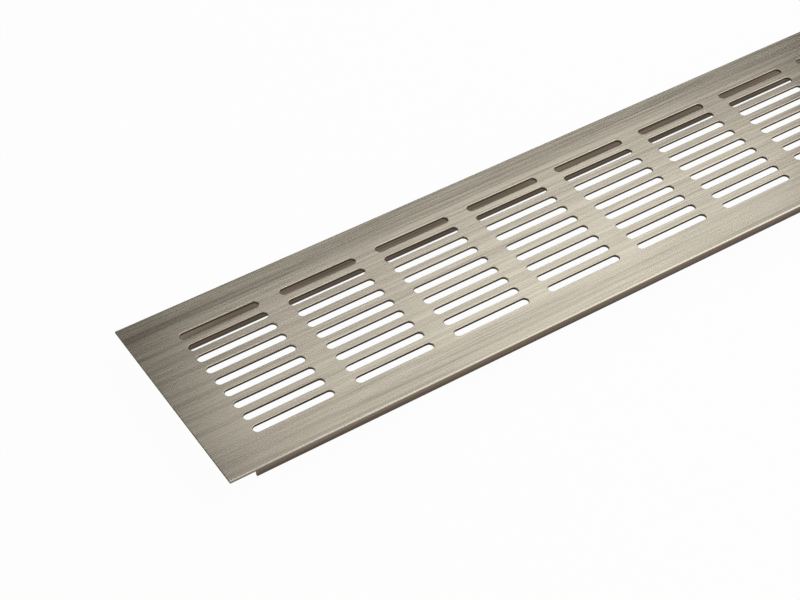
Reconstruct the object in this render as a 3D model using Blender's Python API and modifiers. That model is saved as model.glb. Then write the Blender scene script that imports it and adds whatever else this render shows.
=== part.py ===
"""Ventilation grille: a slotted metal plate with two set-in legs on its underside.

One piece of extruded metal. The section is a flat plate with two legs that drop
into the cut-out of a worktop or plinth, and the plate's rims cover its edges.
Rows of round-ended slots are punched through the plate between the legs.
Lengths are in metres. X runs along the plate, Y across it and Z up. The origin
is under the plate's middle, level with the tips of the legs.
"""

import math

import bmesh
import bpy

# Plate
PLATE_LENGTH = 0.500
PLATE_WIDTH = 0.080
PLATE_THICKNESS = 0.0010
EDGE_RADIUS = 0.0004            # easing of the top edges on both long sides

# Legs on the underside, one along each long side
LEG_SETBACK = 0.0083            # from the plate's long edge to the leg's outer face
LEG_WALL = 0.0010
LEG_DEPTH = 0.0136              # from the plate's underside to the leg's tip
LEG_END_SETBACK = 0.0139        # plate left bare of legs at each end
ROOT_RADIUS = 0.0006            # fillet where a leg meets the plate
TIP_RADIUS = 0.0002

# Slots
SLOT_LENGTH = 0.0308            # end to end, over both round ends
SLOT_WIDTH = 0.0033
COLUMN_BRIDGE = 0.00875         # metal between slots that follow each other in a row
ROW_BRIDGE = 0.00295            # metal between slots that lie side by side
END_BORDER = 0.0150             # least plain metal at each end of the plate
LEG_CLEARANCE = 0.0030          # least metal between a leg's root and the first row

# Facets
SLOT_END_STEPS = 8              # steps in each half-round slot end
EDGE_STEPS = 3                  # steps in each small quarter-round

# Finish: brushed metal of a warm grey
METAL_COLOR = (0.560, 0.520, 0.450, 1.0)
METAL_ROUGHNESS = 0.38
SMOOTH_ANGLE = math.radians(30)

# Sizes that follow from those above
UNDERSIDE = LEG_DEPTH
TOP = UNDERSIDE + PLATE_THICKNESS
HALF_WIDTH = PLATE_WIDTH / 2
LEG_LENGTH = PLATE_LENGTH - 2 * LEG_END_SETBACK
LEG_OUTER = HALF_WIDTH - LEG_SETBACK
LEG_INNER = LEG_OUTER - LEG_WALL
SIDE_BORDER = LEG_SETBACK + LEG_WALL + ROOT_RADIUS + LEG_CLEARANCE
COLUMN_PITCH = SLOT_LENGTH + COLUMN_BRIDGE
ROW_PITCH = SLOT_WIDTH + ROW_BRIDGE


def how_many(room, size, bridge):
    """Count of openings of one size, with a bridge between them, that fit in the room."""
    return int((room + bridge) / (size + bridge))


def arc(centre_x, centre_y, radius, start, end, steps):
    """Points on a circular arc from one angle to another, in degrees."""
    points = []
    for step in range(steps + 1):
        angle = math.radians(start + (end - start) * step / steps)
        points.append((centre_x + radius * math.cos(angle), centre_y + radius * math.sin(angle)))
    return points


def plate_section():
    """Outline of the plate across its width: square below, eased above."""
    radius = min(EDGE_RADIUS, 0.9 * PLATE_THICKNESS)
    outline = [(-HALF_WIDTH, UNDERSIDE), (HALF_WIDTH, UNDERSIDE)]
    outline += arc(HALF_WIDTH - radius, TOP - radius, radius, 0, 90, EDGE_STEPS)
    outline += arc(-HALF_WIDTH + radius, TOP - radius, radius, 90, 180, EDGE_STEPS)
    return outline


def leg_section(side):
    """Outline of one leg, whose head is sunk in the plate so that the two join."""
    middle = side * (LEG_OUTER + LEG_INNER) / 2
    half_wall = LEG_WALL / 2
    head = UNDERSIDE + PLATE_THICKNESS / 2
    root = half_wall + ROOT_RADIUS
    tip = min(TIP_RADIUS, 0.4 * LEG_WALL)
    outline = [(middle + root, head), (middle - root, head)]
    outline += arc(middle - root, UNDERSIDE - ROOT_RADIUS, ROOT_RADIUS, 90, 0, EDGE_STEPS)
    outline += arc(middle - half_wall + tip, tip, tip, 180, 270, EDGE_STEPS)
    outline += arc(middle + half_wall - tip, tip, tip, 270, 360, EDGE_STEPS)
    outline += arc(middle + root, UNDERSIDE - ROOT_RADIUS, ROOT_RADIUS, 180, 90, EDGE_STEPS)
    return outline


def slot_outline():
    """Outline of one round-ended slot about its own middle."""
    radius = SLOT_WIDTH / 2
    reach = SLOT_LENGTH / 2 - radius
    outline = arc(reach, 0, radius, -90, 90, SLOT_END_STEPS)
    outline += arc(-reach, 0, radius, 90, 270, SLOT_END_STEPS)
    return outline


def filled_curve(name, outlines, thickness):
    """Flat outlines, filled and given a thickness about their own plane."""
    curve = bpy.data.curves.new(name, "CURVE")
    curve.dimensions = "2D"
    curve.fill_mode = "BOTH"
    curve.extrude = thickness / 2
    for outline in outlines:
        spline = curve.splines.new("POLY")
        spline.points.add(len(outline) - 1)
        for point, (x, y) in zip(spline.points, outline):
            point.co = (x, y, 0, 1)
        spline.use_cyclic_u = True
    return curve


def solid(name, curve, collection, location=(0, 0, 0), rotation=(0, 0, 0)):
    """Closed mesh made from a filled curve, with the curve's caps welded to its sides."""
    guide = bpy.data.objects.new(name + "_curve", curve)
    guide.location = location
    guide.rotation_euler = rotation
    collection.objects.link(guide)
    bpy.context.view_layer.update()
    evaluated = guide.evaluated_get(bpy.context.evaluated_depsgraph_get())
    mesh = bpy.data.meshes.new_from_object(evaluated)
    mesh.name = name
    work = bmesh.new()
    work.from_mesh(mesh)
    bmesh.ops.remove_doubles(work, verts=work.verts, dist=1e-6)
    bmesh.ops.dissolve_limit(work, angle_limit=math.radians(0.1), verts=work.verts, edges=work.edges)
    bmesh.ops.recalc_face_normals(work, faces=work.faces)
    work.to_mesh(mesh)
    work.free()
    piece = bpy.data.objects.new(name, mesh)
    piece.matrix_world = guide.matrix_world.copy()
    collection.objects.link(piece)
    bpy.data.objects.remove(guide)
    return piece


def extrusion(name, outlines, length, collection):
    """Section outlines drawn in Y and Z, run along X by half the length each way."""
    along_x = (math.radians(90), 0, math.radians(90))
    return solid(name, filled_curve(name, outlines, length), collection, rotation=along_x)


def slot_punch(collection):
    """One slot-shaped punch, repeated in rows and columns about the plate's middle."""
    columns = how_many(PLATE_LENGTH - 2 * END_BORDER, SLOT_LENGTH, COLUMN_BRIDGE)
    rows = how_many(PLATE_WIDTH - 2 * SIDE_BORDER, SLOT_WIDTH, ROW_BRIDGE)
    first = (-(columns - 1) * COLUMN_PITCH / 2, -(rows - 1) * ROW_PITCH / 2, UNDERSIDE + PLATE_THICKNESS / 2)
    punch = solid("slot_punch", filled_curve("slot_punch", [slot_outline()], 3 * PLATE_THICKNESS), collection, first)
    for name, count, offset in (("columns", columns, (COLUMN_PITCH, 0, 0)), ("rows", rows, (0, ROW_PITCH, 0))):
        repeat = punch.modifiers.new(name, "ARRAY")
        repeat.count = count
        repeat.use_relative_offset = False
        repeat.use_constant_offset = True
        repeat.constant_offset_displace = offset
    return punch


def combine(piece, operand, operation):
    """Boolean of one piece with an operand that stays a hidden guide."""
    boolean = piece.modifiers.new(operand.name, "BOOLEAN")
    boolean.operation = operation
    boolean.solver = "EXACT"
    boolean.object = operand
    operand.hide_render = True
    operand.display_type = "WIRE"


def brushed_metal():
    """Warm grey brushed metal."""
    material = bpy.data.materials.new("brushed_metal")
    material.use_nodes = True
    shader = material.node_tree.nodes["Principled BSDF"]
    shader.inputs["Base Color"].default_value = METAL_COLOR
    shader.inputs["Metallic"].default_value = 1.0
    shader.inputs["Roughness"].default_value = METAL_ROUGHNESS
    return material


def grille(parts, cutters):
    """Plate, legs and slots as one piece."""
    piece = extrusion("grille", [plate_section()], PLATE_LENGTH, parts)
    legs = extrusion("legs", [leg_section(-1), leg_section(1)], LEG_LENGTH, cutters)
    combine(piece, legs, "UNION")
    combine(piece, slot_punch(cutters), "DIFFERENCE")
    piece.data.materials.append(brushed_metal())
    piece.data.shade_smooth()
    piece.data.set_sharp_from_angle(angle=SMOOTH_ANGLE)
    return piece


for old in list(bpy.data.objects):
    bpy.data.objects.remove(old)
parts_collection = bpy.data.collections.new("ventilation_grille")
cutters_collection = bpy.data.collections.new("cutters")
bpy.context.scene.collection.children.link(parts_collection)
bpy.context.scene.collection.children.link(cutters_collection)
grille(parts_collection, cutters_collection)
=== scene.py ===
# Studio picture of a slotted ventilation grille in brushed, anodised metal.
import math

import bmesh
import bpy
from mathutils import Matrix, Quaternion, Vector


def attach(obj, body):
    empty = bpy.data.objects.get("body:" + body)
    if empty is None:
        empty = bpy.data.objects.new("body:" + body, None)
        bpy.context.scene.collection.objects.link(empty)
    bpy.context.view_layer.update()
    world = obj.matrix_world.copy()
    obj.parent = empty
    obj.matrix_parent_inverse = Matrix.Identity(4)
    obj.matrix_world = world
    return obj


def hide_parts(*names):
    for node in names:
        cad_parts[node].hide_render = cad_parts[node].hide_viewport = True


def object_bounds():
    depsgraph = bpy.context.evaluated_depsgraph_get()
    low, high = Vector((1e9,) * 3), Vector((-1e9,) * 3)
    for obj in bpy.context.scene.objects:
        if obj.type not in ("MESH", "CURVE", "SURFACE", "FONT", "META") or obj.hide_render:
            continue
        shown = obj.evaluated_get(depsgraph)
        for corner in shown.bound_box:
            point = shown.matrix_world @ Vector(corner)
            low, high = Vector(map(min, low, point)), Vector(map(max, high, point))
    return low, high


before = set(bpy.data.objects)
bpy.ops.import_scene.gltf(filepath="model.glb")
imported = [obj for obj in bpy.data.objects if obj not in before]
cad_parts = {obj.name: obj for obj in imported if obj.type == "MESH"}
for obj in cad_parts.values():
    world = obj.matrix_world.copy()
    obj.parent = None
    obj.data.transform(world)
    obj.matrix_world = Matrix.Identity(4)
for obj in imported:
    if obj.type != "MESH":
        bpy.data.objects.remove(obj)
cadLow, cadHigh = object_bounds()
mm = 0.001
print("frame: nodes", sorted(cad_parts))


# Node helpers

def addNode(tree, kind, **settings):
    node = tree.nodes.new(kind)
    for name, value in settings.items():
        setattr(node, name, value)
    return node


def mathNode(tree, operation, first, second, clamp=False):
    # Each side is a number or another node's output
    node = addNode(tree, "ShaderNodeMath", operation=operation, use_clamp=clamp)
    for socket, value in zip(node.inputs, (first, second)):
        if hasattr(value, "is_linked"):
            tree.links.new(value, socket)
        else:
            socket.default_value = value
    return node.outputs[0]


def vectorNode(tree, operation, first, second):
    node = addNode(tree, "ShaderNodeVectorMath", operation=operation)
    tree.links.new(first, node.inputs[0])
    tree.links.new(second, node.inputs[1])
    return node.outputs[0]


def spread(tree, value, low, high):
    # A mask from 0 to 1 becomes a value from low to high
    node = addNode(tree, "ShaderNodeMapRange")
    tree.links.new(value, node.inputs["Value"])
    node.inputs["To Min"].default_value = low
    node.inputs["To Max"].default_value = high
    return node.outputs["Result"]


def blendColor(tree, factor, low, high):
    node = addNode(tree, "ShaderNodeMix", data_type="RGBA")
    tree.links.new(factor, node.inputs["Factor"])
    for socket, color in ((node.inputs["A"], low), (node.inputs["B"], high)):
        if hasattr(color, "is_linked"):
            tree.links.new(color, socket)
        else:
            socket.default_value = (*color, 1)
    return node.outputs["Result"]


def objectPlace(tree):
    return addNode(tree, "ShaderNodeTexCoord").outputs["Object"]


def heightOf(tree, place):
    parts = addNode(tree, "ShaderNodeSeparateXYZ")
    tree.links.new(place, parts.inputs[0])
    return parts.outputs["Z"]


def newMaterial(name, metallic=0):
    material = bpy.data.materials.new(name)
    material.use_nodes = True
    tree = material.node_tree
    shader = tree.nodes["Principled BSDF"]
    shader.inputs["Metallic"].default_value = metallic
    return material, tree, shader


# Long fine lines that run along X, as a belt leaves them on a sheet

brushNoise = {"detail": 1.5, "roughness": 0.62, "contrast": (-0.75, 1.75)}


def makeBrushLines():
    look = brushNoise
    group = bpy.data.node_groups.new("brushLines", "ShaderNodeTree")
    sockets = (("Vector", "INPUT", "NodeSocketVector"), ("Line Length", "INPUT", "NodeSocketFloat"),
               ("Line Width", "INPUT", "NodeSocketFloat"), ("Shift", "INPUT", "NodeSocketFloat"),
               ("Lines", "OUTPUT", "NodeSocketFloat"))
    for name, side, kind in sockets:
        group.interface.new_socket(name=name, in_out=side, socket_type=kind)
    start = addNode(group, "NodeGroupInput")
    end = addNode(group, "NodeGroupOutput")
    across = mathNode(group, "DIVIDE", 1, start.outputs["Line Width"])
    along = mathNode(group, "DIVIDE", 1, start.outputs["Line Length"])
    stretch = addNode(group, "ShaderNodeCombineXYZ")
    for socket, value in zip(stretch.inputs, (along, across, across)):
        group.links.new(value, socket)
    lift = addNode(group, "ShaderNodeCombineXYZ")
    group.links.new(start.outputs["Shift"], lift.inputs["Z"])
    place = vectorNode(group, "ADD", start.outputs["Vector"], lift.outputs[0])
    place = vectorNode(group, "MULTIPLY", place, stretch.outputs[0])
    noise = addNode(group, "ShaderNodeTexNoise", noise_dimensions="3D")
    noise.inputs["Scale"].default_value = 1
    noise.inputs["Detail"].default_value = look["detail"]
    noise.inputs["Roughness"].default_value = look["roughness"]
    group.links.new(place, noise.inputs["Vector"])
    group.links.new(spread(group, noise.outputs["Fac"], *look["contrast"]), end.inputs["Lines"])
    return group


brushLines = makeBrushLines()


def linesOn(tree, vector, lineLength, lineWidth, shift=0):
    node = addNode(tree, "ShaderNodeGroup", node_tree=brushLines)
    node.inputs["Shift"].default_value = shift
    node.inputs["Line Length"].default_value = lineLength
    node.inputs["Line Width"].default_value = lineWidth
    tree.links.new(vector, node.inputs["Vector"])
    return node.outputs["Lines"]


# Finishes

def spreadAcross(tree, shader, anisotropy):
    # The grain map says which way the brushed surface spreads a highlight
    direction = addNode(tree, "ShaderNodeTangent", direction_type="UV_MAP", uv_map="grain")
    tree.links.new(direction.outputs["Tangent"], shader.inputs["Tangent"])
    shader.inputs["Anisotropic"].default_value = anisotropy


def addBump(tree, shader, height, distance):
    bump = addNode(tree, "ShaderNodeBump")
    bump.inputs["Strength"].default_value = 1
    bump.inputs["Distance"].default_value = distance
    tree.links.new(height, bump.inputs["Height"])
    tree.links.new(bump.outputs["Normal"], shader.inputs["Normal"])


brushedFace = {
    "lightTone": (0.780, 0.702, 0.573),
    "darkTone": (0.260, 0.226, 0.184),
    "roughness": (0.225, 0.315),
    # Length and width of the marks, where their pattern starts, and how much each kind counts
    "bands": (300 * mm, 7.0 * mm, 380 * mm, 0.20),
    "lines": (110 * mm, 1.1 * mm, 3650 * mm, 0.36),
    "scratches": (40 * mm, 0.6 * mm, 2420 * mm, 0.28),
    "grain": (12 * mm, 0.45 * mm, 0, 0.16),
    "anisotropy": 0.3,
}


def makeBrushedFace():
    look = brushedFace
    material, tree, shader = newMaterial("brushedFace", metallic=1)
    place = objectPlace(tree)
    tone = None
    for name in ("bands", "lines", "scratches", "grain"):
        length, width, shift, share = look[name]
        marks = mathNode(tree, "MULTIPLY", linesOn(tree, place, length, width, shift), share)
        tone = mathNode(tree, "ADD", tone, marks) if tone else marks
    color = blendColor(tree, tone, look["darkTone"], look["lightTone"])
    tree.links.new(color, shader.inputs["Base Color"])
    tree.links.new(spread(tree, tone, *look["roughness"]), shader.inputs["Roughness"])
    spreadAcross(tree, shader, look["anisotropy"])
    return material


roundedEdge = {
    "topTone": (0.548, 0.500, 0.412),
    # The edge's lower part is painted darker: a painted shade under the rounded top, not a tone of the
    # metal
    "paintedEdgeShade": (0.210, 0.189, 0.156),
    "paintedEdgeShadeDepths": (0.25 * mm, 0.60 * mm),     # below the face, where the painted shade starts and where it is full
    "roughness": 0.27, "anisotropy": 0.3,
}


def makeRoundedEdge():
    look = roundedEdge
    material, tree, shader = newMaterial("roundedEdge", metallic=1)
    start, end = look["paintedEdgeShadeDepths"]
    # Painted shade: the edge's colour darkens with depth below the face
    depth = mathNode(tree, "SUBTRACT", cadHigh.z - start, heightOf(tree, objectPlace(tree)))
    low = mathNode(tree, "DIVIDE", depth, end - start, clamp=True)
    tree.links.new(blendColor(tree, low, look["topTone"], look["paintedEdgeShade"]), shader.inputs["Base Color"])
    shader.inputs["Roughness"].default_value = look["roughness"]
    spreadAcross(tree, shader, look["anisotropy"])
    return material


drawnLegs = {
    "lightTone": (0.475, 0.385, 0.302),
    "darkTone": (0.238, 0.187, 0.145),
    "roughness": (0.32, 0.44),
    "lineLength": 60 * mm, "lineWidth": 0.8 * mm,
    "bumpHeight": 0.004 * mm,
    # The legs' lowest few millimetres are painted darker: a painted shade where they meet the floor
    "paintedContactShade": (0.128, 0.100, 0.081), "paintedContactShadeBand": 3.0 * mm,
}


def makeDrawnLegs():
    look = drawnLegs
    material, tree, shader = newMaterial("drawnLegs", metallic=1)
    place = objectPlace(tree)
    lines = linesOn(tree, place, look["lineLength"], look["lineWidth"])
    tone = blendColor(tree, lines, look["darkTone"], look["lightTone"])
    # Painted shade near the floor: the legs' colour darkens towards the tip
    rise = mathNode(tree, "SUBTRACT", heightOf(tree, place), cadLow.z)
    upper = mathNode(tree, "DIVIDE", rise, look["paintedContactShadeBand"], clamp=True)
    tree.links.new(blendColor(tree, upper, look["paintedContactShade"], tone), shader.inputs["Base Color"])
    tree.links.new(spread(tree, lines, *look["roughness"]), shader.inputs["Roughness"])
    addBump(tree, shader, lines, look["bumpHeight"])
    return material


punchedWalls = {
    # Both tones are painted dark as the shade inside the slots; the lighter shear zone above the torn zone
    # is the wall's own finish
    "shearToneShaded": (0.128, 0.103, 0.073),
    "tearToneShaded": (0.106, 0.083, 0.058),
    "roughness": (0.35, 0.60),
    "shearShare": 0.4,     # of the plate's thickness, from its face down
    "raggedSize": 0.6 * mm, "raggedRise": 0.25 * mm, "raggedBlend": 0.12 * mm,
}


def makePunchedWalls():
    look = punchedWalls
    material, tree, shader = newMaterial("punchedWalls", metallic=1)
    place = objectPlace(tree)
    noise = addNode(tree, "ShaderNodeTexNoise")
    noise.inputs["Scale"].default_value = 1 / look["raggedSize"]
    tree.links.new(place, noise.inputs["Vector"])
    shearDepth = grilleBody["plateThickness"] * look["shearShare"]
    depth = mathNode(tree, "SUBTRACT", cadHigh.z - shearDepth, heightOf(tree, place))
    ragged = mathNode(tree, "MULTIPLY", noise.outputs["Fac"], look["raggedRise"])
    below = mathNode(tree, "ADD", depth, ragged)
    torn = mathNode(tree, "DIVIDE", below, look["raggedBlend"], clamp=True)
    # Shear zone over torn zone, both darkened as painted shade of the slots
    tree.links.new(blendColor(tree, torn, look["shearToneShaded"], look["tearToneShaded"]), shader.inputs["Base Color"])
    tree.links.new(spread(tree, torn, *look["roughness"]), shader.inputs["Roughness"])
    return material


# The grille itself: one slot's cell, repeated, run out to the plate's rim, thickened and given its legs

grilleBody = {
    "plateThickness": 1.0 * mm,
    "slotColumns": 12, "slotRows": 9,
    "slotLength": 30.8 * mm, "slotWidth": 3.3 * mm,
    "columnPitch": 39.55 * mm, "rowPitch": 6.25 * mm,
    "legSetback": 8.3 * mm, "legWall": 1.0 * mm, "legEndSetback": 13.9 * mm,
    "rootRadius": 0.6 * mm, "tipRadius": 0.2 * mm,
    "edgeRadius": 0.5 * mm, "slotRollover": 0.18 * mm, "sawnEdge": 0.10 * mm,
    "slotEndSteps": 16, "radiusSteps": 4, "rolloverSteps": 3,
}
near = 0.001 * mm     # two places closer than this are the same
# How much of a normal lies along an axis where a face looks that way, where it hardly does, and where
# it is square to it
facing, turned, square = 0.9, 0.05, 0.9999
creased = 0.5     # two faces whose normals differ by more than this in height meet at an edge


def vertsOf(result):
    return [item for item in result["geom"] if isinstance(item, bmesh.types.BMVert)]


def slotCell(work):
    # A round is pulled apart into a slot, and its rim is run out to the cell's rectangle
    body = grilleBody
    steps = body["slotEndSteps"]
    halfStep = Matrix.Rotation(math.pi / steps / 2, 4, "Z")
    radius = body["slotWidth"] / 2 / math.cos(math.pi / steps / 2)
    bmesh.ops.create_circle(work, segments=2 * steps, radius=radius, matrix=halfStep)
    reach = (body["slotLength"] - body["slotWidth"]) / 2
    for vert in work.verts:
        vert.co.x += math.copysign(reach, vert.co.x)
    rim = vertsOf(bmesh.ops.extrude_edge_only(work, edges=work.edges[:]))
    corner = Vector((body["columnPitch"] / 2, body["rowPitch"] / 2))
    for vert in rim:
        outX, outY = abs(vert.co.x) - reach, abs(vert.co.y)
        scale = min((corner.x - reach) / max(outX, near), corner.y / max(outY, near))
        vert.co.x = math.copysign(reach + outX * scale, vert.co.x)
        vert.co.y *= scale
    for signX in (-1, 1):
        for signY in (-1, 1):
            target = Vector((signX * corner.x, signY * corner.y, 0))
            min(rim, key=lambda vert: (vert.co - target).length).co = target


def repeatCells(work, count, offset):
    cell = work.verts[:] + work.edges[:] + work.faces[:]
    for index in range(1, count):
        copied = vertsOf(bmesh.ops.duplicate(work, geom=cell))
        bmesh.ops.translate(work, verts=copied, vec=offset * index)
    bmesh.ops.translate(work, verts=work.verts, vec=-offset * (count - 1) / 2)
    bmesh.ops.remove_doubles(work, verts=work.verts, dist=near)


def runOut(work, axis, places):
    # The sheet's outer edges on both sides of one axis move out to each place in turn
    for place in places:
        limit = max(vert.co[axis] for vert in work.verts)
        outer = [edge for edge in work.edges if edge.is_boundary
                 and all(abs(abs(vert.co[axis]) - limit) < near for vert in edge.verts)]
        for vert in vertsOf(bmesh.ops.extrude_edge_only(work, edges=outer)):
            vert.co[axis] = math.copysign(place, vert.co[axis])


def legSteps():
    # Half the leg's width and its depth below the plate, from the root's fillet to the tip
    body = grilleBody
    half, root, tip = body["legWall"] / 2, body["rootRadius"], body["tipRadius"]
    depth = cadHigh.z - cadLow.z - body["plateThickness"]
    angles = [math.pi / 2 * step / body["radiusSteps"] for step in range(body["radiusSteps"] + 1)]
    steps = [(half + root - root * math.sin(angle), root - root * math.cos(angle)) for angle in angles]
    steps += [(half - tip + tip * math.cos(angle), depth - tip + tip * math.sin(angle)) for angle in angles]
    return steps


def growLegs(work, underside, legMiddle, legEnd):
    steps = legSteps()
    for side in (-1, 1):
        middle = side * legMiddle
        faces = [face for face in work.faces if face.normal.z < -facing
                 and abs(face.calc_center_median().y - middle) < steps[0][0]
                 and abs(face.calc_center_median().x) < legEnd]
        for (lastHalf, _), (half, depth) in zip(steps, steps[1:]):
            grown = bmesh.ops.extrude_face_region(work, geom=faces)
            bmesh.ops.delete(work, geom=faces, context="FACES_KEEP_BOUNDARY")
            faces = [item for item in grown["geom"] if isinstance(item, bmesh.types.BMFace)]
            for vert in vertsOf(grown):
                vert.co.y = middle + (vert.co.y - middle) * half / lastHalf
                vert.co.z = underside - depth


def topEdges(work, test):
    # The face's sharp edges whose ends both pass the test
    found = []
    for edge in work.edges:
        if all(abs(vert.co.z - cadHigh.z) < near and test(vert.co) for vert in edge.verts):
            first, second = edge.link_faces
            if abs(first.normal.z - second.normal.z) > creased:
                found.append(edge)
    return found


def bevelEdges(work, edges, width, segments):
    bmesh.ops.bevel(work, geom=edges, offset=width, offset_type="OFFSET", segments=segments, profile=0.5,
                    affect="EDGES", clamp_overlap=True, material=-1)


def finishFaces(work, underside):
    # 0 is the brushed face, 1 a punched or sawn wall, 2 the drawn legs and underside, 3 a long edge
    body = grilleBody
    slotsX = body["columnPitch"] * body["slotColumns"] / 2
    slotsY = body["rowPitch"] * body["slotRows"] / 2
    edgeStart = cadHigh.y - body["edgeRadius"]
    for face in work.faces:
        middle, normal = face.calc_center_median(), face.normal
        isPlate = middle.z > underside - near
        inSlots = abs(middle.x) < slotsX and abs(middle.y) < slotsY
        if isPlate and normal.z > -turned and abs(normal.x) < facing and abs(middle.y) > edgeStart:
            face.material_index = 3
        elif isPlate and normal.z > turned:
            face.material_index = 0
        elif isPlate and abs(normal.z) < turned and (inSlots or abs(normal.x) > facing):
            face.material_index = 1
        else:
            face.material_index = 2
        face.smooth = max(abs(part) for part in normal) < square


def layGrain(work):
    # The map's first direction runs across the brush's lines, where they spread a highlight
    grain = work.loops.layers.uv.new("grain")
    for face in work.faces:
        atEnd = abs(face.normal.x) > facing
        across = Vector((0, 0, 1)) if atEnd else Vector((0, -face.normal.z, face.normal.y))
        for loop in face.loops:
            place = loop.vert.co
            loop[grain].uv = (place.dot(across), place.y if atEnd else place.x)


def makeGrille():
    body = grilleBody
    underside = cadHigh.z - body["plateThickness"]
    halfWidth, halfLength = cadHigh.y, cadHigh.x
    legMiddle = halfWidth - body["legSetback"] - body["legWall"] / 2
    legRoot = body["legWall"] / 2 + body["rootRadius"]
    legEnd = halfLength - body["legEndSetback"]
    work = bmesh.new()
    slotCell(work)
    repeatCells(work, body["slotColumns"], Vector((body["columnPitch"], 0, 0)))
    repeatCells(work, body["slotRows"], Vector((0, body["rowPitch"], 0)))
    for vert in work.verts:
        vert.co.x = max(-legEnd, min(legEnd, vert.co.x))
    runOut(work, 0, (halfLength - body["sawnEdge"], halfLength))
    runOut(work, 1, (legMiddle - legRoot, legMiddle + legRoot, halfWidth))
    print("grille: sheet with", body["slotColumns"] * body["slotRows"], "slots")
    bmesh.ops.translate(work, verts=work.verts, vec=(0, 0, cadHigh.z))
    lower = vertsOf(bmesh.ops.extrude_face_region(work, geom=work.faces[:]))
    bmesh.ops.translate(work, verts=lower, vec=(0, 0, -body["plateThickness"]))
    bmesh.ops.recalc_face_normals(work, faces=work.faces)
    growLegs(work, underside, legMiddle, legEnd)
    bmesh.ops.recalc_face_normals(work, faces=work.faces)
    print("grille: plate and legs,", len(work.faces), "faces")
    longEdges = topEdges(work, lambda place: abs(abs(place.y) - halfWidth) < near)
    bevelEdges(work, longEdges, body["edgeRadius"], body["radiusSteps"])
    slotEdges = topEdges(work, lambda place: abs(place.x) < halfLength - near
                         and abs(place.y) < legMiddle - legRoot)
    bevelEdges(work, slotEdges, body["slotRollover"], body["rolloverSteps"])
    finishFaces(work, underside)
    layGrain(work)
    mesh = bpy.data.meshes.new("slottedGrille")
    work.to_mesh(mesh)
    loose = sum(not edge.is_manifold for edge in work.edges)
    work.free()
    grille = bpy.data.objects.new("slottedGrille", mesh)
    bpy.context.scene.collection.objects.link(grille)
    for material in (makeBrushedFace(), makePunchedWalls(), makeDrawnLegs(), makeRoundedEdge()):
        mesh.materials.append(material)
    print("grille: finished,", len(mesh.polygons), "faces, open edges", loose)
    return grille


grille = makeGrille()
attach(grille, "root")
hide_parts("grille")


# Studio: floor, light and camera

studio = {
    "floorSize": 6.0, "floorDrop": 0.05 * mm,
    "floorColor": (0.86, 0.86, 0.86), "floorRoughness": 0.9, "floorSpecular": 0.1,
    "whiteToCamera": 0.97, "floorToGloss": 0.32, "skyToGloss": 0.12,
    "skySide": (0.47, 0.42, 0.40), "skyDim": (0.032, 0.022, 0.018),
    "dimFrom": (58.0, 46.0), "dimSpread": (27, 52),     # degrees: azimuth and elevation, full and none
}


def whiteShare(tree, glossShare):
    # How much of the plain white each kind of ray meets
    cameraShare = studio["whiteToCamera"]
    path = addNode(tree, "ShaderNodeLightPath")
    toCamera = mathNode(tree, "MULTIPLY", path.outputs["Is Camera Ray"], cameraShare)
    toGloss = mathNode(tree, "MULTIPLY", path.outputs["Is Glossy Ray"], glossShare)
    toGlass = mathNode(tree, "MULTIPLY", path.outputs["Is Transmission Ray"], cameraShare)
    return mathNode(tree, "MAXIMUM", mathNode(tree, "MAXIMUM", toCamera, toGloss), toGlass)


def makeFloor():
    look = studio
    work = bmesh.new()
    bmesh.ops.create_grid(work, x_segments=1, y_segments=1, size=look["floorSize"] / 2)
    bmesh.ops.translate(work, verts=work.verts, vec=(0, 0, cadLow.z - look["floorDrop"]))
    mesh = bpy.data.meshes.new("floor")
    work.to_mesh(mesh)
    work.free()
    floor = bpy.data.objects.new("floor", mesh)
    bpy.context.scene.collection.objects.link(floor)
    material, tree, shader = newMaterial("paleFloor")
    shader.inputs["Base Color"].default_value = (*look["floorColor"], 1)
    shader.inputs["Roughness"].default_value = look["floorRoughness"]
    shader.inputs["Specular IOR Level"].default_value = look["floorSpecular"]
    white = addNode(tree, "ShaderNodeEmission")
    mix = addNode(tree, "ShaderNodeMixShader")
    tree.links.new(whiteShare(tree, look["floorToGloss"]), mix.inputs["Fac"])
    tree.links.new(shader.outputs[0], mix.inputs[1])
    tree.links.new(white.outputs[0], mix.inputs[2])
    tree.links.new(mix.outputs[0], tree.nodes["Material Output"].inputs["Surface"])
    mesh.materials.append(material)


def towards(azimuth, elevation):
    turn, rise = math.radians(azimuth), math.radians(elevation)
    return Vector((math.cos(turn) * math.cos(rise), math.sin(turn) * math.cos(rise), math.sin(rise)))


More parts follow.
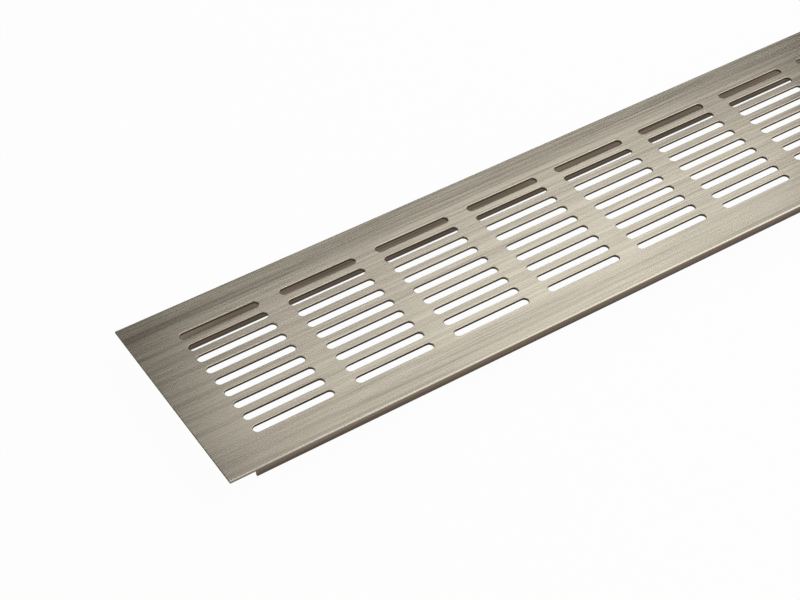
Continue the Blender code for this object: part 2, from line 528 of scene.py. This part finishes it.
def makeSky():
    # An even studio all round, dimmer behind the grille, where its face mirrors it
    look = studio
    world = bpy.data.worlds.new("studioSky")
    bpy.context.scene.world = world
    world.use_nodes = True
    tree = world.node_tree
    direction = addNode(tree, "ShaderNodeTexCoord").outputs["Generated"]
    facingDim = addNode(tree, "ShaderNodeVectorMath", operation="DOT_PRODUCT")
    tree.links.new(direction, facingDim.inputs[0])
    facingDim.inputs[1].default_value = towards(*look["dimFrom"])
    dim = addNode(tree, "ShaderNodeMapRange", interpolation_type="SMOOTHSTEP")
    tree.links.new(facingDim.outputs["Value"], dim.inputs["Value"])
    full, none = look["dimSpread"]
    dim.inputs["From Min"].default_value = math.cos(math.radians(none))
    dim.inputs["From Max"].default_value = math.cos(math.radians(full))
    studioColor = blendColor(tree, dim.outputs["Result"], look["skySide"], look["skyDim"])
    seenColor = blendColor(tree, whiteShare(tree, look["skyToGloss"]), studioColor, (1, 1, 1))
    tree.links.new(seenColor, tree.nodes["Background"].inputs["Color"])


lamps = {
    # Azimuth, elevation and distance from the lit spot, roll, size, brightness and colour
    "backStrip": (54.3, 46.8, 0.495, 26.0, (0.416, 0.068), 2.13, (0.95, 0.99, 1.0)),
    "backCore": (51.3, 44.6, 0.500, 26.0, (0.15, 0.068), 0.48, (0.95, 0.99, 1.0)),
    "overheadSoftbox": (-14, 60, 1.2, 0, (1.2, 0.9), 1.45, (1, 1, 1)),
    "frontFill": (-40, 22, 0.45, 0, (0.66, 0.30), 0.85, (1, 1, 1)),
}
litSpot = Vector((-100 * mm, 0, cadHigh.z))


def makeLamps():
    for name, (azimuth, elevation, distance, roll, size, brightness, color) in lamps.items():
        lamp = bpy.data.lights.new(name, "AREA")
        lamp.shape = "RECTANGLE"
        lamp.size, lamp.size_y = size
        lamp.energy = brightness * math.pi * size[0] * size[1]
        lamp.color = color
        holder = bpy.data.objects.new(name, lamp)
        away = towards(azimuth, elevation)
        aim = (-away).to_track_quat("-Z", "Y")
        holder.location = litSpot + away * distance
        holder.rotation_euler = (aim @ Quaternion((0, 0, 1), math.radians(roll))).to_euler()
        holder.visible_camera = False
        bpy.context.scene.collection.objects.link(holder)


photoCamera = {
    "place": (-416.30 * mm, -398.99 * mm, 466.89 * mm),     # from the middle of the plate's face
    "turn": (45.392, 0.302, -33.035),     # degrees about X, Y and Z
    "lens": 86.26, "sensorWidth": 36,
}


def makeCamera():
    look = photoCamera
    camera = bpy.data.cameras.new("photoCamera")
    camera.lens = look["lens"]
    camera.sensor_width = look["sensorWidth"]
    holder = bpy.data.objects.new("photoCamera", camera)
    holder.location = Vector(look["place"]) + Vector((0, 0, cadHigh.z))
    holder.rotation_euler = [math.radians(angle) for angle in look["turn"]]
    bpy.context.scene.collection.objects.link(holder)
    bpy.context.scene.camera = holder


makeFloor()
makeSky()
makeLamps()
makeCamera()
bpy.context.scene.view_settings.view_transform = "Standard"
print("studio: floor, sky, lamps and camera")
